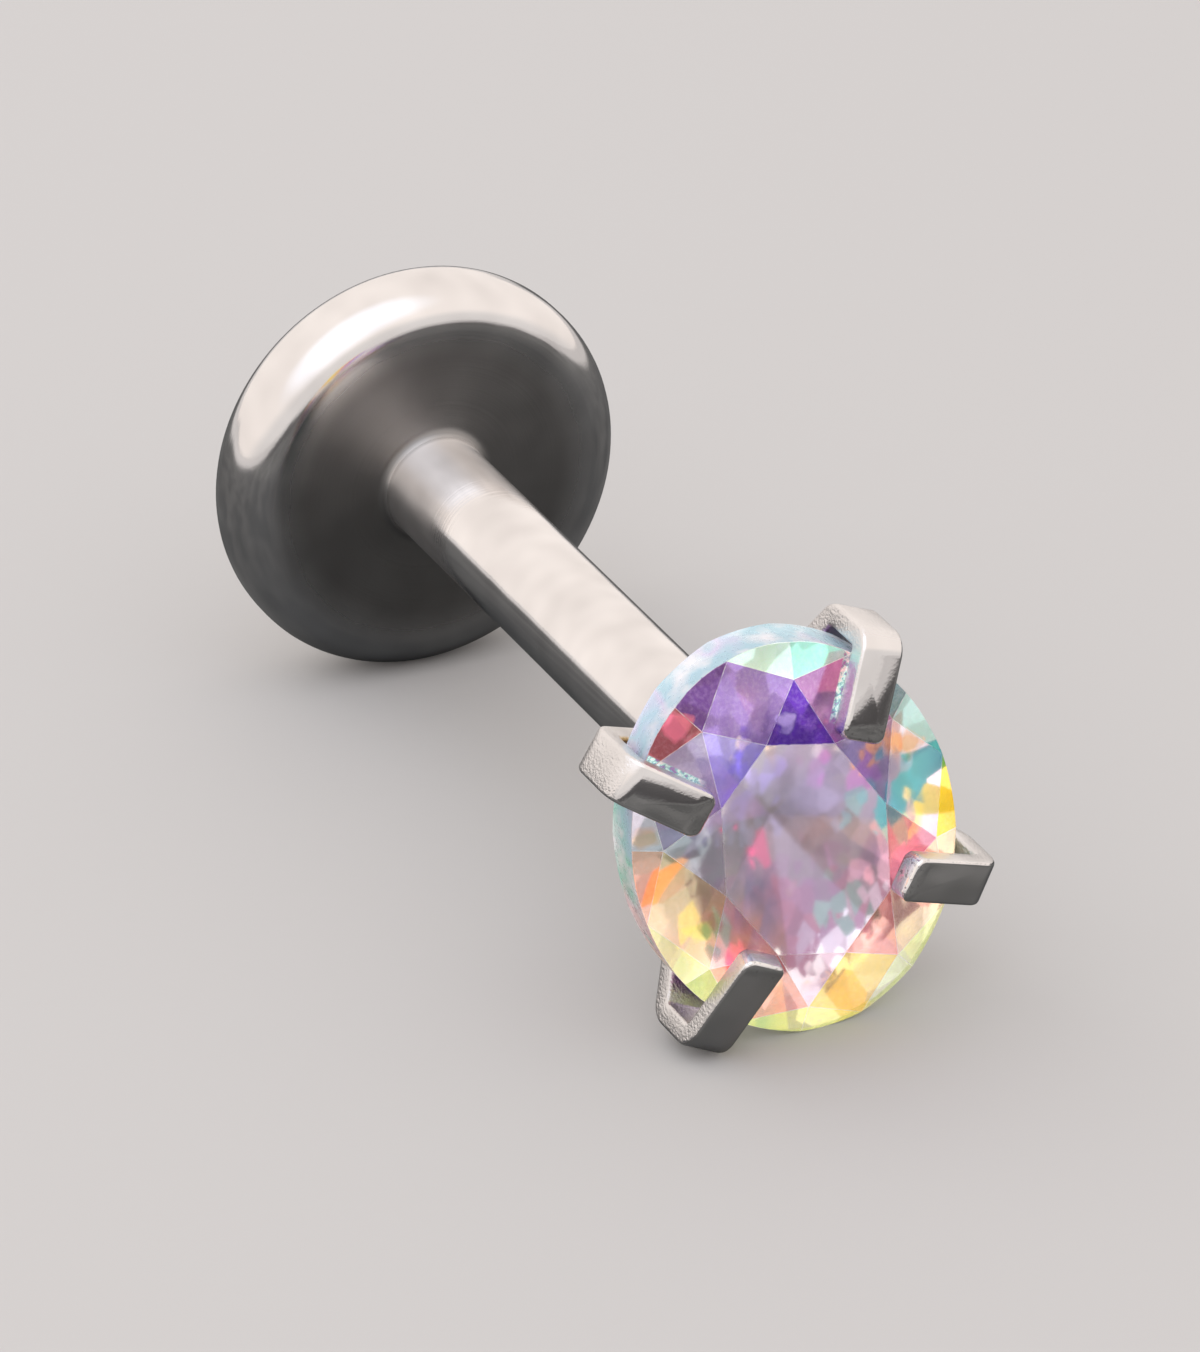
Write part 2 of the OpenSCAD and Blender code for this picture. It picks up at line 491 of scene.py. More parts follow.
def star_tip(turn):
    """A star facet's outer point: it lies on the two kites beside it."""
    before, after = round_point(turn - FACET_TURN / 2), round_point(turn + FACET_TURN / 2)
    rise_before, rise_after = kite_rise(turn - FACET_TURN / 2), kite_rise(turn + FACET_TURN / 2)
    across = rise_before * before - rise_after * after
    guess = STAR_SHARE * round_point(turn)
    place = guess + across * (rise_before - rise_after - guess.dot(across)) / across.length_squared
    return stretched(place, rise_before * (1 - place.dot(before)))


def girdle_point(turn, height=0):
    return stretched(round_point(turn), height)


def facet_planes():
    """Three points of each facet, with its kind, in the order in which they are cut."""
    culet = Vector((0, 0, -GIRDLE_T - PAVILION_H))
    half = FACET_TURN / 2
    lower_h = PAVILION_H * (1 - LOWER_SHARE * math.cos(math.radians(half)))
    for k in range(SIDES):
        turn = k * FACET_TURN
        yield "kite", (girdle_point(turn), table_corner(turn), star_tip(turn + half))
    for k in range(SIDES):
        turn = (k + 0.5) * FACET_TURN
        yield "star", (table_corner(turn - half), table_corner(turn + half), star_tip(turn))
    for k in range(2 * SIDES):
        middle = (k // 2 + 0.5) * FACET_TURN
        ends = (k * half, (k + 1) * half)
        yield "upper", (*[girdle_point(end) for end in ends], star_tip(middle))
        foot = stretched(LOWER_SHARE * round_point(middle), -GIRDLE_T - lower_h)
        yield "lower", (*[girdle_point(end, -GIRDLE_T) for end in ends], foot)
    for k in range(SIDES):
        turn = k * FACET_TURN
        foot = stretched(LOWER_SHARE * round_point(turn + half), -GIRDLE_T - lower_h)
        yield "main", (girdle_point(turn, -GIRDLE_T), foot, culet)


# %% Cut the stone
GIRDLE_STEPS = 96
KINDS = ["table", "girdle", "kite", "star", "upper", "lower", "main", "edge"]


def cut_facet(bm, points, inside):
    """Grinds the stone down to one plane and returns the new facet."""
    a, b, c = points
    way_out = (b - a).cross(c - a).normalized()
    if way_out.dot(a - inside) < 0:
        way_out.negate()
    everything = bm.verts[:] + bm.edges[:] + bm.faces[:]
    bmesh.ops.bisect_plane(
        bm, geom=everything, dist=SAME_POINT, plane_co=a, plane_no=way_out, clear_outer=True,
    )
    rim = [edge for edge in bm.edges if edge.is_boundary]
    return bmesh.ops.contextual_create(bm, geom=rim)["faces"] if rim else []


stone = bmesh.new()
drum_h = CROWN_H + GIRDLE_T + PAVILION_H
bmesh.ops.create_cone(stone, cap_ends=True, segments=GIRDLE_STEPS, radius1=1, radius2=1, depth=drum_h)
bmesh.ops.scale(stone, vec=(STONE_A, STONE_B, 1), verts=stone.verts)
bmesh.ops.translate(stone, vec=(0, 0, CROWN_H - drum_h / 2), verts=stone.verts)

facet_kind = stone.faces.layers.int.new("facet_kind")
facet_tone = stone.faces.layers.float.new("facet_tone")
for face in stone.faces:
    face[facet_kind] = KINDS.index("table" if len(face.verts) > 4 else "girdle")
shade = random.Random(7)
inside = Vector((0, 0, -GIRDLE_T / 2))
for kind, points in facet_planes():
    for face in cut_facet(stone, points, inside):
        face[facet_kind] = KINDS.index(kind)
        face[facet_tone] = shade.random()
print("cut stone:", len(stone.faces), "faces,", open_edges(stone), "open edges")

# %% [markdown]
# A facet's edge is never quite sharp. Wear and the polishing wheel leave a line
# about a hundredth of a millimetre wide, and it shows as a thin light line. One
# narrow bevel makes these lines on the front, where hands and cloth rub, and
# their faces get a kind of their own.
#
# Facets are flat, so their edges stay sharp in the shading. Only the girdle is
# a curved band, so its faces blend into each other.
#
# Each face also keeps its own middle, as the usual view sees the stone: across
# and up from the stone's middle, with the depth first.

# %% Break the facets' edges
LINE_W = 0.007
BACK_KINDS = [KINDS.index("lower"), KINDS.index("main")]
GIRDLE_KIND = KINDS.index("girdle")


def within_girdle(edge):
    return all(face[facet_kind] == GIRDLE_KIND for face in edge.link_faces)


def is_rubbed(edge):
    behind = any(face[facet_kind] in BACK_KINDS for face in edge.link_faces)
    return not within_girdle(edge) and not behind


rubbed = [edge for edge in stone.edges if is_rubbed(edge)]
for face in bevel(stone, rubbed, LINE_W / 2, segments=1):
    face[facet_kind] = KINDS.index("edge")
facet_middle = stone.faces.layers.float_vector.new("facet_middle")
for face in stone.faces:
    turned = Matrix.Rotation(math.radians(HEAD_TURN), 3, "Z") @ face.calc_center_median()
    face[facet_middle] = (turned.z, turned.y, -turned.x)
for edge in stone.edges:
    edge.smooth = within_girdle(edge)
count = [sum(face[facet_kind] == n for face in stone.faces) for n in range(len(KINDS))]
print(dict(zip(KINDS, count)))
bmesh.ops.transform(stone, matrix=claw_place(0), verts=stone.verts)
cut_stone = finish_piece(stone, "cut_stone", "oval_stone")

# %% [markdown]
# ## Nodes in words
#
# Each finish below is a chain of nodes. A few helpers keep the chains readable:
# most add one node, take plain values or the outputs of other nodes, and hand
# back an output. A node joins the tree that its inputs come from. Patterns on
# the stud are measured in millimetres.

# %% Helpers for nodes
def feed(made, inputs):
    """Sets each named input of a node to a value, or links it to an output."""
    for socket, value in inputs.items():
        if isinstance(value, bpy.types.NodeSocket):
            made.id_data.links.new(value, made.inputs[socket])
        else:
            made.inputs[socket].default_value = value


def node(kind, inputs, tree=None, **settings):
    """Adds a node to the tree that its inputs come from, or to the given one."""
    for value in inputs.values():
        if isinstance(value, bpy.types.NodeSocket):
            tree = value.id_data
    made = tree.nodes.new("ShaderNode" + kind)
    for name, value in settings.items():
        setattr(made, name, value)
    feed(made, inputs)
    return made


def source(shader, kind, output, **settings):
    """One output of a node without inputs, in the same tree as a shader."""
    return node(kind, {}, shader.id_data, **settings).outputs[output]


def maths(operation, *values):
    return node("Math", dict(enumerate(values)), operation=operation).outputs[0]


def times(value, factor):
    return maths("MULTIPLY", value, factor)


def times_plus(value, factor, added):
    return maths("MULTIPLY_ADD", value, factor, added)


def vectors(operation, *values):
    return node("VectorMath", dict(enumerate(values)), operation=operation).outputs["Vector"]


def measured(operation, *values):
    """A number from vectors, such as a length, a distance or a dot product."""
    return node("VectorMath", dict(enumerate(values)), operation=operation).outputs["Value"]


def scaled(vector, factor):
    return node("VectorMath", {0: vector, "Scale": factor}, operation="SCALE").outputs["Vector"]


def split(vector):
    return node("SeparateXYZ", {0: vector}).outputs


def joined(**parts):
    return node("CombineXYZ", parts).outputs[0]


def object_mm(shader, centre):
    """Object coordinates in millimetres, counted from a centre given in metres."""
    return scaled(vectors("SUBTRACT", source(shader, "TexCoord", "Object"), centre), 1 / MM)


# %% Helpers for patterns and colours
MIX_SOCKETS = {"FLOAT": (2, 3, 0), "VECTOR": (4, 5, 1), "RGBA": (6, 7, 2)}


def noise(place, scale, detail, output=0):
    return node("TexNoise", {"Vector": place, "Scale": scale, "Detail": detail}).outputs[output]


def fade(value, start, end, low=0.0, high=1.0, kind="LINEAR"):
    """Goes from low to high while the value goes from start to end."""
    ends = {0: value, 1: start, 2: end, 3: low, 4: high}
    return node("MapRange", ends, interpolation_type=kind).outputs[0]


def mix(share, first, second, kind="RGBA", **settings):
    """Goes from the first colour, place or number to the second, by a share from 0 to 1."""
    inputs = {0: share}
    for socket, value in zip(MIX_SOCKETS[kind], (first, second)):
        inputs[socket] = (*value, 1) if isinstance(value, tuple) else value
    return node("Mix", inputs, data_type=kind, **settings).outputs[MIX_SOCKETS[kind][2]]


def ramp(factor, stops):
    """A colour ramp from (position, colour) stops."""
    made = node("ValToRGB", {"Fac": factor})
    bands = made.color_ramp.elements
    while len(bands) < len(stops):
        bands.new(0.5)
    for band, (place, colour) in zip(bands, stops):
        band.position = place
        band.color = (*colour, 1)
    return made.outputs["Color"]


# %% Helpers for groups and finishes
def shader_group(name, inputs, outputs):
    """An empty group, as its inputs and its end node. An input without a value is a vector."""
    tree = bpy.data.node_groups.new(name, "ShaderNodeTree")
    for socket, value in inputs.items():
        kind = "NodeSocketVector" if value is None else "NodeSocketFloat"
        made = tree.interface.new_socket(socket, in_out="INPUT", socket_type=kind)
        if value is not None:
            made.default_value = value
    for socket, kind in outputs.items():
        tree.interface.new_socket(socket, in_out="OUTPUT", socket_type="NodeSocket" + kind)
    return tree.nodes.new("NodeGroupInput").outputs, tree.nodes.new("NodeGroupOutput")


def place_group(group, inputs):
    return node("Group", inputs, node_tree=group).outputs


def add_finish(piece, name, **fixed):
    """Gives a piece one more material and returns its Principled shader."""
    made = bpy.data.materials.new(name)
    made.use_nodes = True
    piece.data.materials.append(made)
    shader = made.node_tree.nodes["Principled BSDF"]
    feed(shader, {socket.replace("_", " "): value for socket, value in fixed.items()})
    return shader


# %% [markdown]
# ## Polished steel
#
# Polished steel isn't one flat grey. A polishing wheel leaves fine lines along
# its run, hand work leaves faces a little wavy, and cut sides stay dull and
# sandy. Both steel pieces use one group for this, each with its own pattern
# vector: the tool runs along the vector's X, and its lines lie across Y.
#
# The heights are in steps of a hundredth of a millimetre, which is what the
# Bump node's distance is set to, so each number can be read as a real depth.

# %% The steel group
RELIEF = 0.01 * MM
BRIGHT_STEEL = (0.92, 0.9, 0.89)
DEEP_STEEL = (0.74, 0.72, 0.71)
PIT_AND_PAINTED_SHADE = (0.1, 0.095, 0.09)
PIT_DEPTH = 0.3
WAVE_SCALE = 2.2
GRAIN_SCALE = 42.0
SPOT_SCALE = 28.0
SPOT_EDGE = (0.58, 0.68)
MIRROR_ROUGHNESS = 0.03
WAVE_ROUGHNESS = 0.08
SATIN_ROUGHNESS = 0.28

given, end = shader_group(
    "Polished steel",
    {"Vector": None, "Place": None, "Lines": 0.2, "Waves": 1.0, "Dullness": 0.0, "Sand": 0.0,
     "Shade": 0.0, "Pits": 0.0},
    {"Color": "Color", "Roughness": "Float", "Height": "Float"},
)
lines = noise(given["Vector"], 1.0, 3.0)
waves = noise(given["Place"], WAVE_SCALE, 1.0)
grain = noise(given["Place"], GRAIN_SCALE, 2.0)
low = fade(noise(given["Place"], SPOT_SCALE, 3.0), *SPOT_EDGE)
pitted = times(times(low, given["Pits"]), 0.5)

steel = ramp(waves, [(0.2, DEEP_STEEL), (0.8, BRIGHT_STEEL)])
# The Shade input mixes the steel towards the dark pit colour: painted shade
shaded = mix(given["Shade"], steel, PIT_AND_PAINTED_SHADE)
smooth = times_plus(waves, WAVE_ROUGHNESS, MIRROR_ROUGHNESS)
wave_depth = times_plus(waves, given["Waves"], times(lines, given["Lines"]))
sand_depth = times_plus(grain, given["Sand"], wave_depth)
feed(end, {
    "Color": mix(pitted, shaded, PIT_AND_PAINTED_SHADE),
    "Roughness": times_plus(given["Dullness"], SATIN_ROUGHNESS, smooth),
    "Height": times_plus(pitted, -PIT_DEPTH, sand_depth),
})
STEEL = end.id_data
print("group:", STEEL.name)


def dress_steel(shader, steel, height):
    """Leads the outputs of the steel group, and a height, to a shader."""
    bump = node("Bump", {"Height": height, "Strength": 1.0, "Distance": RELIEF})
    colour, roughness = steel["Color"], steel["Roughness"]
    feed(shader, {"Base Color": colour, "Roughness": roughness, "Normal": bump.outputs[0]})


# %% [markdown]
# The back came off a lathe, so its lines are rings round the axis. Seen from
# any point, the way along the axis plus the distance from it changes across
# every ring, on the post and on the disc's flat face alike. The wheel polishes
# the rim and the post but can't reach the flat face between them, so that face
# stays satin.
#
# The satin face looks dark, but the polished post mirrors it as a light grey,
# because light goes back and forth between the two. So the face's colour is
# darkened as painted shade, more to the camera than to mirrored rays.

# %% Steel of the turned back
SATIN_FACE = 1.15
WHEEL_DULLNESS = 0.12
SATIN_SHADE = 0.74
MIRRORED_SHADE = 0.3
RINGS_PER_MM = 26.0
RING_DEPTH = 0.1
FACE_RING_DEPTH = 0.16
SATIN_ENDS_AT = (disc_r - RIM_R + 0.2, disc_r - RIM_R - 0.3)

shader = add_finish(turned_back, "turned steel", Metallic=1.0)
place = object_mm(shader, (0, 0, axis_h))
along, across, high = split(place)
radius = measured("LENGTH", joined(Y=across, Z=high))
rings = times(maths("ADD", along, radius), RINGS_PER_MM)
off_face = maths("ABSOLUTE", maths("SUBTRACT", along, back_low.x / MM + DISC_T))
on_face = fade(off_face, ROOT_R, ROOT_R / 4)
satin = times(on_face, fade(radius, *SATIN_ENDS_AT, kind="SMOOTHSTEP"))
# Painted shade on the satin face: darker to the camera than to mirrored rays
to_camera = source(shader, "LightPath", "Is Camera Ray")
darker = times_plus(to_camera, SATIN_SHADE - MIRRORED_SHADE, MIRRORED_SHADE)
steel = place_group(STEEL, {
    "Vector": joined(Y=rings), "Place": place, "Waves": 0.4, "Sand": 0.02,
    "Lines": times_plus(satin, FACE_RING_DEPTH - RING_DEPTH, RING_DEPTH),
    "Dullness": times_plus(satin, SATIN_FACE - WHEEL_DULLNESS, WHEEL_DULLNESS),
    "Shade": times(satin, darker),
})
dress_steel(shader, steel, steel["Height"])
print("finish of the back:", turned_back.data.materials[0].name)

# %% [markdown]
# The claws were cut from sheet and bent, then polished by hand after setting.
# The wheel reaches the faces over the crown, so those are near mirrors, and it
# rubs them a little rounder towards their sides and tips. The upright stretch
# and the cut sides keep a sandy, satin look, and a few pits are left at the
# tips. The strip vector gives each of these its place on the claw.

# %% Steel of the claws
SATIN_STARTS = (0.02, -0.1)
SIDE_BAND = 0.012
CROWNING = 0.35
TIP_FALL = 3.0
TIP_L = 0.18
SAND = 0.8
FINE_SAND = 0.04
STROKES_PER_MM = (0.9, 12.0, 0.0)
STROKE_DEPTH = 0.06

shader = add_finish(claw_head, "claw steel", Metallic=1.0)
on_strip = source(shader, "Attribute", "Vector", attribute_name="strip")
past_knuckle, across, to_tip = split(on_strip)
side = fade(maths("ABSOLUTE", across), CLAW_W / 2 - SIDE_BAND, CLAW_W / 2)
dull = maths("MAXIMUM", side, fade(past_knuckle, *SATIN_STARTS))
near_tip = fade(to_tip, TIP_L, 0.0)
share = maths("DIVIDE", across, CLAW_W / 2)
crowned = times(times(share, share), -CROWNING)
fallen = times_plus(times(near_tip, near_tip), -TIP_FALL, crowned)
steel = place_group(STEEL, {
    "Vector": vectors("MULTIPLY", on_strip, STROKES_PER_MM), "Lines": STROKE_DEPTH,
    "Place": object_mm(shader, (0, 0, axis_h)), "Waves": 0.9, "Dullness": dull,
    "Sand": times_plus(dull, SAND, FINE_SAND), "Pits": near_tip,
})
dress_steel(shader, steel, maths("ADD", steel["Height"], fallen))
print("finish of the head:", claw_head.data.materials[0].name)

# %% [markdown]
# ## The rainbow stone
#
# The stone is clear, and a film a few ten-thousandths of a millimetre thick
# lies on it. Light that bounces inside the film keeps one colour and loses its
# opposite, so the colour changes with the film, the facet and the view.
#
# Glass with a real thin film does this by itself, but its colours can't be
# steered. So it gives only a sheen in front, and the colours are painted, from
# one box. A front facet has one tint, apart from a few patches. The film on the
# back has a run of colours from bottom to top, which is pale outside the table,
# and patches of its own. All the patches are placed one by one.

# %% The film's colours
WHITE = (1.0, 1.0, 1.0)
CLEAR = (0.94, 0.91, 0.94)
PALE_AQUA = (0.72, 0.97, 0.95)
AQUA = (0.44, 0.92, 0.86)
SEA = (0.58, 0.88, 0.82)
SLATE_BLUE = (0.24, 0.38, 0.43)
TEAL = (0.08, 0.42, 0.46)
PERIWINKLE = (0.54, 0.46, 0.98)
IRIS = (0.33, 0.19, 0.92)
VIOLET = (0.15, 0.05, 0.52)
PLUM = (0.15, 0.07, 0.32)
LILAC = (0.4, 0.26, 0.68)
ROSY_LILAC = (1.0, 0.66, 1.0)
ORCHID = (0.5, 0.25, 0.56)
LAVENDER = (0.48, 0.43, 0.62)
HEATHER = (0.36, 0.32, 0.46)
CRIMSON = (0.45, 0.13, 0.16)
SCARLET = (1.0, 0.07, 0.14)
MAUVE = (0.28, 0.17, 0.26)
DUSK = (0.26, 0.21, 0.24)
ROSE = (0.38, 0.17, 0.23)
PINK = (0.85, 0.14, 0.31)
BLUSH = (1.0, 0.72, 0.7)
SHELL = (1.0, 0.86, 0.83)
APRICOT = (1.0, 0.76, 0.5)
CLAY = (0.72, 0.4, 0.25)
CORAL = (0.84, 0.42, 0.48)
SALMON = (1.0, 0.58, 0.45)
ORANGE = (1.0, 0.5, 0.22)
PEACH = (0.92, 0.8, 0.55)
AMBER = (1.0, 0.8, 0.15)
YELLOW = (1.0, 0.86, 0.3)
LEMON = (1.0, 0.94, 0.5)
LIME = (0.86, 0.98, 0.4)
SAGE = (0.8, 0.94, 0.5)
OLIVE = (0.66, 0.74, 0.3)
ASH = (0.46, 0.5, 0.5)
MIST = (0.76, 0.75, 0.82)
MOSS = (0.22, 0.29, 0.27)

# %% [markdown]
# Each row gives a place across and up from the stone's middle, in millimetres,
# and a colour. A front facet takes the colour of the row nearest its middle.

# %% Tint the front facets
FRONT_TINTS = [
    (0.2, 0.0, CLEAR),
    (-0.34, 1.89, PALE_AQUA), (0.19, 1.8, AQUA), (-0.93, 1.68, PLUM), (-1.28, 1.28, CRIMSON),
    (0.8, 1.39, SLATE_BLUE), (1.19, 0.87, SEA), (1.48, 0.07, AMBER), (1.47, -0.52, PEACH),
    (1.28, -1.28, SAGE), (0.93, -1.68, SAGE), (0.34, -1.89, LIME), (-0.19, -1.8, LIME),
    (-0.8, -1.39, OLIVE), (-1.19, -0.87, LEMON), (-1.48, -0.07, SALMON), (-1.47, 0.52, MIST),
    (-0.53, 1.49, LILAC), (0.39, 1.33, ORCHID), (1.09, 0.39, CLEAR), (1.14, -0.79, PEACH),
    (0.53, -1.49, YELLOW), (-0.39, -1.33, SALMON), (-1.09, -0.39, APRICOT), (-1.14, 0.79, LAVENDER),
    (-0.72, 1.01, PERIWINKLE), (-0.08, 1.24, VIOLET), (0.63, 0.76, LAVENDER), (0.97, -0.19, CORAL),
    (0.72, -1.01, SALMON), (0.08, -1.24, SHELL), (-0.63, -0.76, BLUSH), (-0.97, 0.19, MIST),
]


def facet_tint(middle):
    """The colour whose row lies nearest a facet's middle."""
    return min(FRONT_TINTS, key=lambda row: math.hypot(middle[1] - row[0], middle[2] - row[1]))[2]


middles = cut_stone.data.attributes["facet_middle"].data
tints = cut_stone.data.attributes.new("facet_tint", "FLOAT_VECTOR", "FACE").data
for middle, tint in zip(middles, tints):
    tint.vector = facet_tint(middle.vector)
print("tints of front facets:", len(FRONT_TINTS))

# %% [markdown]
# The film on the back changes softly from patch to patch. Its run of colours
# shows only where the usual view meets it through the table. Outside it is
# pale between the patches, as the front facets colour it. The columns are
# across, up, size and colour, and a later row lies over an earlier one.

# %% The film on the back
FILM_RUN = [
    (0.12, ROSE), (0.2, MAUVE), (0.27, ROSE), (0.34, MAUVE),
    (0.39, DUSK), (0.46, DUSK), (0.52, HEATHER), (0.7, HEATHER),
]
PALE_OUTSIDE = (0.88, 0.84, 0.86)
TABLE_MIDDLE = (0.0, 0.25, -0.3)
TABLE_HALF = (1.0, 0.9, 1.18)
TABLE_FADE = (0.95, 1.15)
PATCH_FADE = (1.2, 0.7)
# The white patches are painted highlights
FILM_PATCHES = [
    (0.0, 1.8, 0.6, WHITE),
    (-0.42, 1.72, 0.14, BLUSH),
    (0.45, 1.2, 0.16, CORAL),
    (1.38, 0.02, 0.28, AMBER),
    (0.97, 0.54, 0.17, ORANGE),
    (1.12, 0.1, 0.27, TEAL),
    (1.15, -0.5, 0.25, CORAL),
    (0.62, -0.95, 0.18, MOSS),
    (0.62, -1.3, 0.16, WHITE),
    (0.85, -1.5, 0.28, WHITE),
    (0.45, -1.7, 0.14, APRICOT),
    (0.15, -1.45, 0.2, WHITE),
    (-0.5, -0.88, 0.12, SLATE_BLUE),
    (-0.35, -1.25, 0.15, PINK),
    (-0.75, -0.95, 0.18, WHITE),
    (-0.95, -0.62, 0.17, ASH),
    (-0.8, -0.7, 0.12, LEMON),
    (-1.12, -0.3, 0.2, ORANGE),
    (-1.0, 0.0, 0.22, ASH),
    (-0.12, -0.25, 0.11, PINK),
    (0.34, -0.45, 0.06, PINK),
    (0.1, -0.75, 0.06, PINK),
    (0.58, 0.32, 0.18, ORCHID),
    (-0.2, 0.45, 0.17, PERIWINKLE),
    (0.85, -0.05, 0.12, SLATE_BLUE),
]


def off_table(flat):
    """0 where the usual view meets the back through the table, and 1 outside."""
    parted = vectors("DIVIDE", vectors("SUBTRACT", flat, TABLE_MIDDLE), TABLE_HALF)
    return fade(measured("LENGTH", parted), *TABLE_FADE)


def lay_patches(flat, colour, patches):
    """Lays soft round patches over a colour."""
    for across, up, size, patch_colour in patches:
        far = measured("DISTANCE", flat, (0, across, up))
        colour = mix(fade(far, *(size * edge for edge in PATCH_FADE)), colour, patch_colour)
    return colour


given, end = shader_group("Rainbow film", {"Place": None, "Tone": 0.0}, {"Color": "Color"})
_, across, up = split(given["Place"])
flat = joined(Y=across, Z=up)
run = fade(up, -STONE_A, STONE_A)
colour = ramp(maths("ADD", run, given["Tone"]), FILM_RUN)
colour = mix(off_table(flat), colour, PALE_OUTSIDE)
feed(end, {"Color": lay_patches(flat, colour, FILM_PATCHES)})
FILM = end.id_data
STONE_CENTRE = LAY_DOWN @ Vector((0, 0, girdle_h))
print("group:", FILM.name, "with", len(FILM_PATCHES), "patches")

# %% [markdown]
# Inside a cut stone the light meets facet after facet, and each one breaks the
# picture into smaller flecks. Outside the table they are shards that point at
# the middle, and under it they are a soft jumble. A Voronoi pattern makes both:
# in polar terms its cells are narrow and long outwards, and in plain terms they
# are even. A group turns each shard's own place back into millimetres, so that
# the film's colour can be read there.

# %% Shards and flecks of light
CELL_OUTPUTS = {"Place": "Vector", "Chance": "Float"}
SQUEEZE = (1, 1, 0.55)


def put_out_cells(end, middle, cells, throw):
    """Puts out each cell's chance, and its place, moved a little to a side of its own."""
    colour = cells.outputs["Color"]
    apart = vectors("SUBTRACT", colour, (0.5, 0.5, 0.5))
    feed(end, {
        "Place": vectors("ADD", middle, scaled(apart, throw)),
        "Chance": node("SeparateColor", {0: colour}).outputs["Green"],
    })
    return end.id_data


given, end = shader_group(
    "Shards", {"Vector": None, "Round": 3.0, "Outward": 2.0, "Throw": 0.3}, CELL_OUTPUTS,
)
_, across, up = split(given["Vector"])
angle = maths("ARCTAN2", up, across)
radius = measured("LENGTH", joined(Y=across, Z=up))
polar = joined(X=times(angle, given["Round"]), Y=times(radius, given["Outward"]))
cells = node("TexVoronoi", {"Vector": polar, "Scale": 1.0}, voronoi_dimensions="2D")
cell_x, cell_y, _ = split(cells.outputs["Position"])
angle = maths("DIVIDE", cell_x, given["Round"])
radius = maths("DIVIDE", cell_y, given["Outward"])
middle = joined(Y=times(maths("COSINE", angle), radius), Z=times(maths("SINE", angle), radius))
SHARDS = put_out_cells(end, middle, cells, given["Throw"])

given, end = shader_group("Flecks", {"Vector": None, "Cells": 4.0, "Throw": 0.3}, CELL_OUTPUTS)
squeezed = vectors("MULTIPLY", given["Vector"], SQUEEZE)
cells = node("TexVoronoi", {"Vector": squeezed, "Scale": given["Cells"]})
middle = vectors("DIVIDE", cells.outputs["Position"], SQUEEZE)
FLECKS = put_out_cells(end, middle, cells, given["Throw"])
print("groups:", SHARDS.name, "and", FLECKS.name)

# %% [markdown]
# Close to the two upper claws the stone mirrors the steel's edge, and this
# painted reflection shows as small glints, turquoise and plum. A narrow band on
# both sides of each of these claws holds them, and a fine noise breaks it into
# glints.

# %% Glints beside the claws
UPPER_CLAWS = CLAWS[1:3]
GLINT_BAND = (0.04, 0.028)
GLINTS_START = (0.05, 0.15)
GLINT_SCALE = 22.0
GLINT_RUN = [(0.38, PLUM), (0.47, TEAL), (0.54, AQUA), (0.7, WHITE)]


def beside_claws(place):
    """1 on the narrow strips of stone along the two upper claws, and 0 elsewhere."""
    strips = 0.0
    for turn, reach, _ in UPPER_CLAWS:
        way = math.radians(turn + HEAD_TURN)
        along = measured("DOT_PRODUCT", place, (0, math.sin(way), -math.cos(way)))
        aside = measured("DOT_PRODUCT", place, (0, math.cos(way), math.sin(way)))
        off = maths("SUBTRACT", maths("ABSOLUTE", aside), CLAW_W / 2)
        past_tip = fade(along, *(reach + start for start in GLINTS_START))
        strips = times_plus(fade(off, *GLINT_BAND), past_tip, strips)
    return strips


# %% [markdown]
# The front facets are glass with a little haze, and each one tints what is
# behind it. Light that comes out of the stone crosses the film at a slant, so
# the tint is taken twice where the facet isn't worn. The haze softens the
# flecks under the table, which lie deep, more than those near the girdle.
#
# A few facets have a patch of another colour, such as the bright red one, which
# is painted light on the upper half of a dark red facet. A coarse noise pushes
# the outlines of these patches out of round.

# %% Glass of the front facets
FRONT_PATCHES = [
    # Painted light: the lit upper half of the dark red facet
    (-1.16, 1.4, 0.12, SCARLET),
    (-0.22, 1.3, 0.07, IRIS),
    (-0.6, 1.13, 0.09, ROSY_LILAC),
    (-1.46, 0.38, 0.12, CLAY),
    (1.03, 0.72, 0.12, ORANGE),
    (-0.96, -0.6, 0.1, AMBER),
]
WOBBLE = 0.25
WOBBLE_SCALE = 5.5
RUB_SCALE = 30.0
HAZE = 0.17
WORN_HAZE = 0.2

shader = add_finish(
    cut_stone, "stone front", Metallic=0.0, Transmission_Weight=0.98, IOR=1.7,
    Thin_Film_Thickness=420.0, Thin_Film_IOR=1.5,
)
place = object_mm(shader, STONE_CENTRE)
tint = source(shader, "Attribute", "Color", attribute_name="facet_tint")
deeper = mix(1.0, tint, tint, blend_type="MULTIPLY")
worn = fade(noise(place, RUB_SCALE, 4.0), 0.45, 0.7, 0.0, 0.25)

_, across, up = split(place)
apart = vectors("SUBTRACT", noise(place, WOBBLE_SCALE, 1.0, "Color"), (0.5, 0.5, 0.5))
pushed = vectors("MULTIPLY", apart, (0.0, WOBBLE, WOBBLE))
wobbly = vectors("ADD", joined(Y=across, Z=up), pushed)
colour = lay_patches(wobbly, mix(worn, deeper, tint), FRONT_PATCHES)
# Painted glints of the reflected steel edge beside the two upper claws
glints = ramp(noise(place, GLINT_SCALE, 2.0), GLINT_RUN)
feed(shader, {
    "Base Color": mix(beside_claws(place), colour, glints),
    "Roughness": times_plus(worn, WORN_HAZE, HAZE),
})
print("patches on the front:", len(FRONT_PATCHES))

# %% [markdown]
# The girdle is ground and not polished, so it is frosted. The film lies on it
# too. It drifts between lavender and ice blue at the top, and then runs through
# green and pink to lime at the bottom.

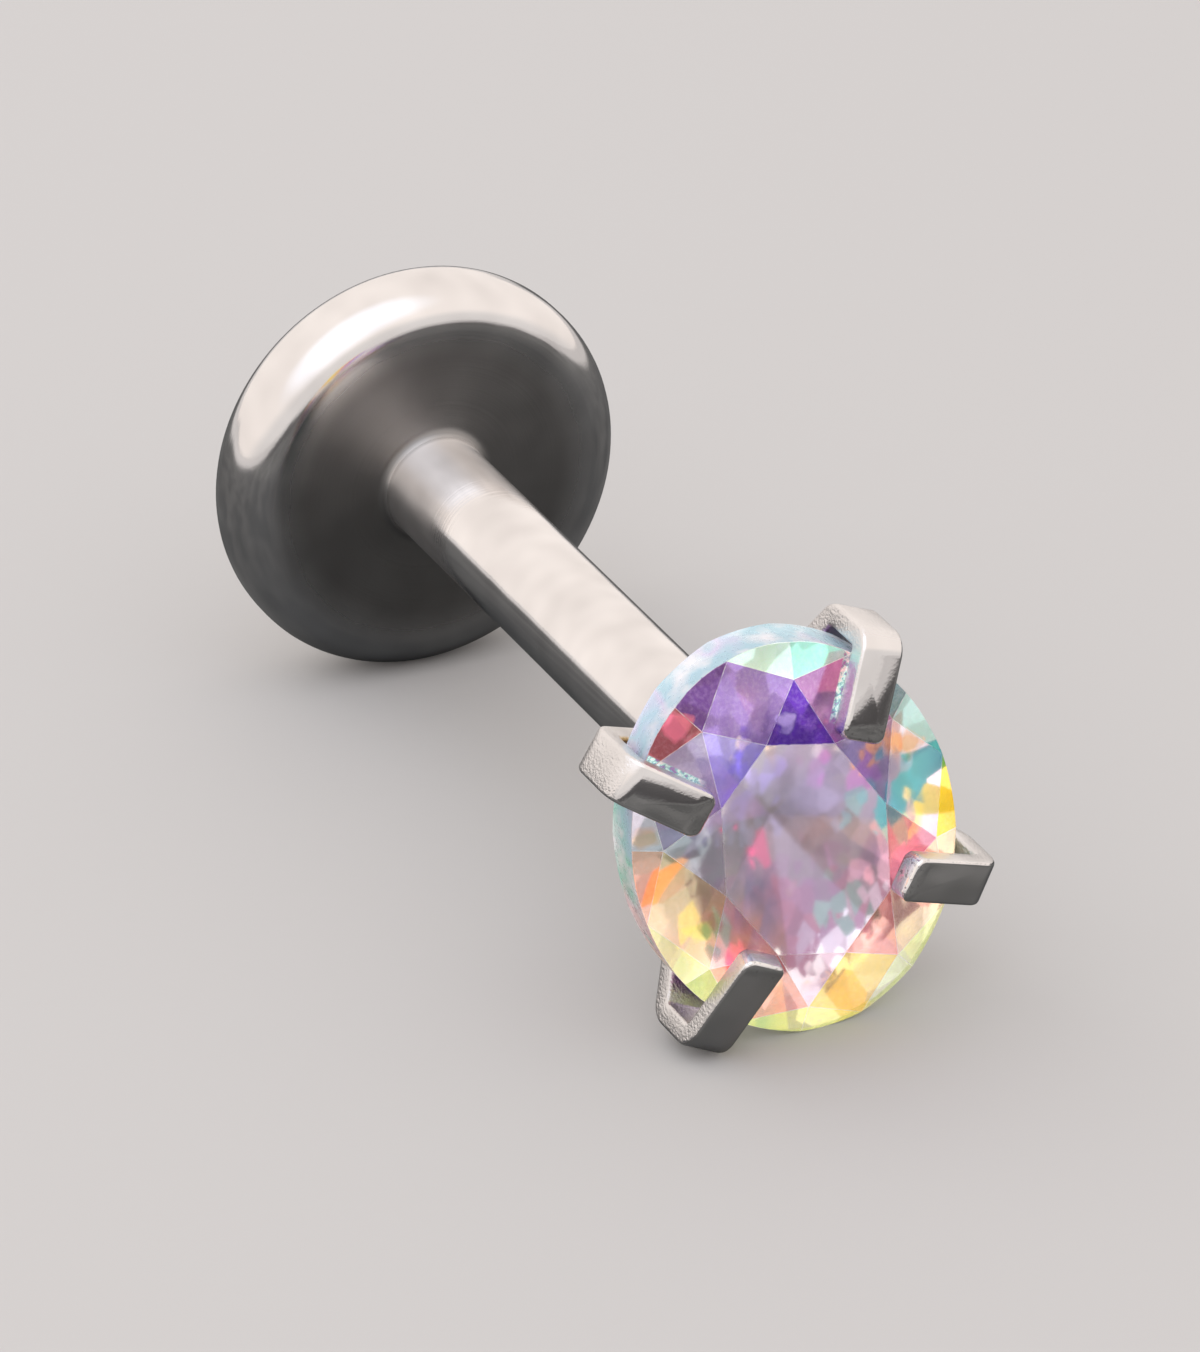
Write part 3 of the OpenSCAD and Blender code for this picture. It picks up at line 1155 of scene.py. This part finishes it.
# %% Frost of the girdle
ICE = (0.47, 0.74, 0.84)
ROSE_WHITE = (0.85, 0.7, 0.7)
SPRING = (0.36, 0.78, 0.62)
LAVENDER_WHITE = (0.7, 0.68, 0.9)
FROST_WHITE = (0.95, 0.97, 1.0)
GIRDLE_RUN = [
    (0.1, LIME), (0.34, BLUSH), (0.42, ROSE_WHITE), (0.5, SPRING), (0.58, SPRING),
    (0.66, ICE), (0.75, LAVENDER_WHITE), (0.84, ICE), (0.91, LAVENDER_WHITE), (0.98, ICE),
]
FROST_SCALE = 14.0
BLOTCH_SCALE = 3.5
DRIFT_SCALE = 2.4
DRIFT = 2.4
DRIFT_MIDDLE = 1.1


def add_frost(name, transmission):
    """A frosted finish of the stone: its shader, its place and its frost."""
    shader = add_finish(cut_stone, name, Metallic=0.0, Transmission_Weight=transmission, IOR=1.6)
    place = object_mm(shader, STONE_CENTRE)
    frost = noise(place, FROST_SCALE, 5.0)
    bump = node("Bump", {"Height": frost, "Strength": 1.0, "Distance": RELIEF})
    feed(shader, {"Roughness": times_plus(frost, 0.4, 0.1), "Normal": bump.outputs[0]})
    return shader, place, frost


shader, place, _ = add_frost("stone girdle", 0.35)
level = maths("ADD", split(place)[2], -DRIFT_MIDDLE)
swayed = times_plus(noise(place, DRIFT_SCALE, 1.0), DRIFT, level)
film = ramp(fade(swayed, -STONE_A, STONE_A), GIRDLE_RUN)
white = fade(noise(place, BLOTCH_SCALE, 3.0), 0.46, 0.68)
feed(shader, {"Base Color": mix(white, film, FROST_WHITE)})
print("colours round the girdle:", len(GIRDLE_RUN))

# %% [markdown]
# The back facets are a coloured mirror made of shards and flecks. Seen from
# inside, they also give off a little of their colour, which stands for the
# light that keeps bouncing in the stone for longer than a render follows it.
# Seen from outside, they are the plain film: one soft rainbow, with a step from
# facet to facet. The Backfacing output tells the two sides apart.

# %% Mirror of the back facets
GLOW = 0.58
TONE_STEP = 0.06
GLOW_MOTTLE_SCALE = 26.0
SPARK_CHANCE = (0.8, 0.82)
SHARD_LIGHT = (0.55, 1.9)
FLECK_LIGHT = (0.6, 1.3)
BARE_MIRROR = (0.9, 0.9, 0.9)
BARE_SHARE = 0.12
OUTER_RUN = [
    (0.0, LIME), (0.2, AMBER), (0.36, SALMON), (0.5, ORCHID),
    (0.64, PERIWINKLE), (0.8, TEAL), (1.0, AQUA),
]

shader = add_finish(cut_stone, "stone back", Metallic=1.0, Roughness=0.12, Emission_Strength=GLOW)
place = object_mm(shader, STONE_CENTRE)
_, across, up = split(place)
flat = joined(Y=across, Z=up)
outside = off_table(flat)
shards = place_group(SHARDS, {"Vector": place, "Round": 6.0, "Outward": 2.4, "Throw": 0.2})
flecks = place_group(FLECKS, {"Vector": flat, "Cells": 7.5, "Throw": 0.3})
sparks = place_group(FLECKS, {"Vector": flat, "Cells": 14.0, "Throw": 0.5})

# The film's colour is read at shards outside, at flecks and a few finer sparks under the table
read_at = mix(outside, flecks["Place"], shards["Place"], "VECTOR")
picked = times(fade(sparks["Chance"], *SPARK_CHANCE), maths("SUBTRACT", 1.0, outside))
read_at = mix(picked, read_at, sparks["Place"], "VECTOR")
tone = source(shader, "Attribute", "Fac", attribute_name="facet_tone")
shift = times_plus(tone, TONE_STEP, -TONE_STEP / 2)
film = place_group(FILM, {"Place": read_at, "Tone": shift})["Color"]

# How bright each shard and fleck is
shard_light = fade(shards["Chance"], 0.0, 1.0, *SHARD_LIGHT)
fleck_light = fade(flecks["Chance"], 0.0, 1.0, *FLECK_LIGHT)
# The painted glow is made brighter and dimmer from place to place
glow_mottle = fade(noise(place, GLOW_MOTTLE_SCALE, 4.0), 0.3, 0.7, 0.82, 1.18)
glow = scaled(film, times(mix(outside, fleck_light, shard_light, "FLOAT"), glow_mottle))
mirror = mix(BARE_SHARE, film, BARE_MIRROR)

# The other side: a soft rainbow
swirl = times_plus(noise(place, 0.7, 1.0), 1.5, -0.4)
outer = ramp(times_plus(tone, 0.4, swirl), OUTER_RUN)
inside = source(shader, "NewGeometry", "Backfacing")
feed(shader, {"Base Color": mix(inside, outer, mirror), "Emission Color": scaled(glow, inside)})
print("colours of the outer film:", len(OUTER_RUN))

# %% [markdown]
# Worn facet edges have the same frost as the girdle, and are whiter than the
# tint beside them. With them the stone has its four finishes, and each face
# takes the one of its kind.

# %% Frost of the edges, and a finish for each facet
FINISH_OF = {
    "table": 0, "kite": 0, "star": 0, "upper": 0, "girdle": 1, "lower": 2, "main": 2, "edge": 3,
}

shader, _, frost = add_frost("stone edge", 0.9)
whiter = fade(frost, 0.45, 0.6, 0.05, 0.5)
tint = source(shader, "Attribute", "Color", attribute_name="facet_tint")
feed(shader, {"Base Color": mix(whiter, tint, FROST_WHITE)})

kinds = cut_stone.data.attributes["facet_kind"].data
for face in cut_stone.data.polygons:
    face.material_index = FINISH_OF[KINDS[kinds[face.index].value]]
print("finishes of the stone:", [made.name for made in cut_stone.data.materials])

# %% [markdown]
# ## Table, lights and camera
#
# The stud lies on a plain pale floor under a soft box. Polished steel shows
# only what it mirrors, so it needs something dark close by to look like steel.
# Here the floor itself does that: the camera sees it pale, and mirrored rays
# see a dark round of it near the stud.
#
# The round is not even. Below the stud it is dark, a painted shadow of the
# stud, and a little clouded. Just ahead of the stone, where the lower claws look,
# it is lighter. Beyond that it is nearly black and reaches far out, because the
# upper claws look at the floor at a low slant. This gives them dark and light
# parts with a crisp border, as on a mirror.

# %% The floor
FLOOR_SIZE = 1.2
DARK_ROUND = 0.022
ROUND_FADE = 1.5
CLOUD_SCALE = 420.0
PALE = (0.55, 0.55, 0.55)
DARK_CARD = (0.05, 0.055, 0.058)
CLOUDED_CARD = (0.08, 0.085, 0.087)
AHEAD_DARK = (0.065, 0.07, 0.07)
AHEAD_LIGHT = (0.13, 0.135, 0.135)
AHEAD_BLACK = (0.018, 0.018, 0.02)
AHEAD_STARTS = (0.0036, 0.0046)
AHEAD_ENDS = (0.0165, 0.0135)
AHEAD_REACH = 0.42

bm = bmesh.new()
bmesh.ops.create_grid(bm, x_segments=8, y_segments=8, size=FLOOR_SIZE / 2)
floor = as_object(bm, "floor")
shader = add_finish(floor, "pale floor", Roughness=0.8)
place = source(shader, "TexCoord", "Object")
toward, aside, _ = split(place)
drawn_in = maths("MINIMUM", toward, times(toward, AHEAD_REACH))
far = measured("LENGTH", joined(X=drawn_in, Y=aside))
near = fade(far, ROUND_FADE * DARK_ROUND, DARK_ROUND)
clouds = noise(place, CLOUD_SCALE, 2.0)
# Painted shadow of the stud on the mirrored floor below it, a little clouded
under = ramp(clouds, [(0.4, DARK_CARD), (0.6, CLOUDED_CARD)])
front = ramp(clouds, [(0.35, AHEAD_DARK), (0.65, AHEAD_LIGHT)])
ahead = mix(fade(toward, *AHEAD_ENDS), AHEAD_BLACK, front)
card = mix(fade(toward, *AHEAD_STARTS), under, ahead)
mirrored = source(shader, "LightPath", "Is Glossy Ray")
feed(shader, {"Base Color": mix(times(mirrored, near), PALE, card)})
print("floor:", FLOOR_SIZE, "m wide")

# %% The soft box
BOX_PLACE = Vector((-35, -60, 75))
BOX_SIZE = (100, 80)
BOX_RADIANCE = 0.7

lamp = bpy.data.lights.new("main box", "AREA")
lamp.shape = "RECTANGLE"
lamp.size, lamp.size_y = (side * MM for side in BOX_SIZE)
lamp.energy = BOX_RADIANCE * math.pi * lamp.size * lamp.size_y
lamp.color = (1.0, 0.995, 1.0)
box = add_object("main box", lamp)
box.location = BOX_PLACE * MM
box.rotation_euler = (Vector((0, 0, axis_h)) - box.location).to_track_quat("-Z", "Y").to_euler()
box.visible_glossy = False
print(f"{box.name}: {lamp.energy:.3f} W")

# %% [markdown]
# The soft box would show in the steel with hard edges. So the steel sees, in
# its place, a glow in the room that fades softly. The rest of the room is
# bright, and a little brighter and warmer on the far side.

# %% The room
FAR_SIDE = (1.04, 0.96, 0.91)
NEAR_SIDE = (0.82, 0.78, 0.76)
SIDES_MEET = (-0.25, 0.1)
ROOM_SLANT = -0.5
GLOW_WAY = Vector((0.445, -0.254, 0.859)).normalized()
GLOW_COLOUR = (0.3, 0.38, 0.5)
GLOW_FADE = (0.72, 0.98)

world = bpy.data.worlds.new("soft grey room")
world.use_nodes = True
background = world.node_tree.nodes["Background"]
way = source(background, "TexCoord", "Generated")
toward_camera, _, up = split(way)
height = times_plus(toward_camera, ROOM_SLANT, up)
room = mix(fade(height, *SIDES_MEET, kind="SMOOTHSTEP"), NEAR_SIDE, FAR_SIDE)
aimed = measured("DOT_PRODUCT", way, GLOW_WAY)
glow = scaled(GLOW_COLOUR, fade(aimed, *GLOW_FADE, kind="SMOOTHSTEP"))
feed(background, {"Color": vectors("ADD", room, glow), "Strength": 1.0})
bpy.context.scene.world = world
print("room:", world.name)

# %% [markdown]
# ## The camera
#
# The camera's angle, distance and lens were fitted to the outlines of the disc,
# post and stone. A long lens from 80 mm away gives the photo's near-parallel
# view. The stone's middle isn't in the middle of the frame, so the camera is
# moved by the same number of pixels, turned into metres.

# %% Set up the camera
AZIMUTH = math.radians(64.43)
ELEVATION = math.radians(28.19)
DISTANCE = 0.08
FRAME_W, FRAME_H = 1200, 1352
FOCAL_PX = 9310
STONE_AT = (795.5, 839.0)
SENSOR = 36

back = Vector((
    math.sin(AZIMUTH) * math.cos(ELEVATION),
    -math.cos(AZIMUTH) * math.cos(ELEVATION),
    math.sin(ELEVATION),
))
right = Vector((math.cos(AZIMUTH), math.sin(AZIMUTH), 0))
up = back.cross(right)
pixel = DISTANCE / FOCAL_PX
offset_right = (STONE_AT[0] - FRAME_W / 2) * pixel
offset_down = (STONE_AT[1] - FRAME_H / 2) * pixel

lens = bpy.data.cameras.new("camera")
lens.sensor_fit = "HORIZONTAL"
lens.sensor_width = SENSOR
lens.lens = FOCAL_PX * SENSOR / FRAME_W
lens.clip_start = 0.001
lens.clip_end = 10
camera = add_object("camera", lens)
camera.location = STONE_CENTRE + back * DISTANCE - right * offset_right + up * offset_down
camera.rotation_euler = Matrix((right, up, back)).transposed().to_euler()
bpy.context.scene.camera = camera
bpy.context.scene.view_settings.view_transform = "Standard"
print("lens", round(lens.lens, 1), "mm, camera at", [round(c / MM, 1) for c in camera.location], "mm")
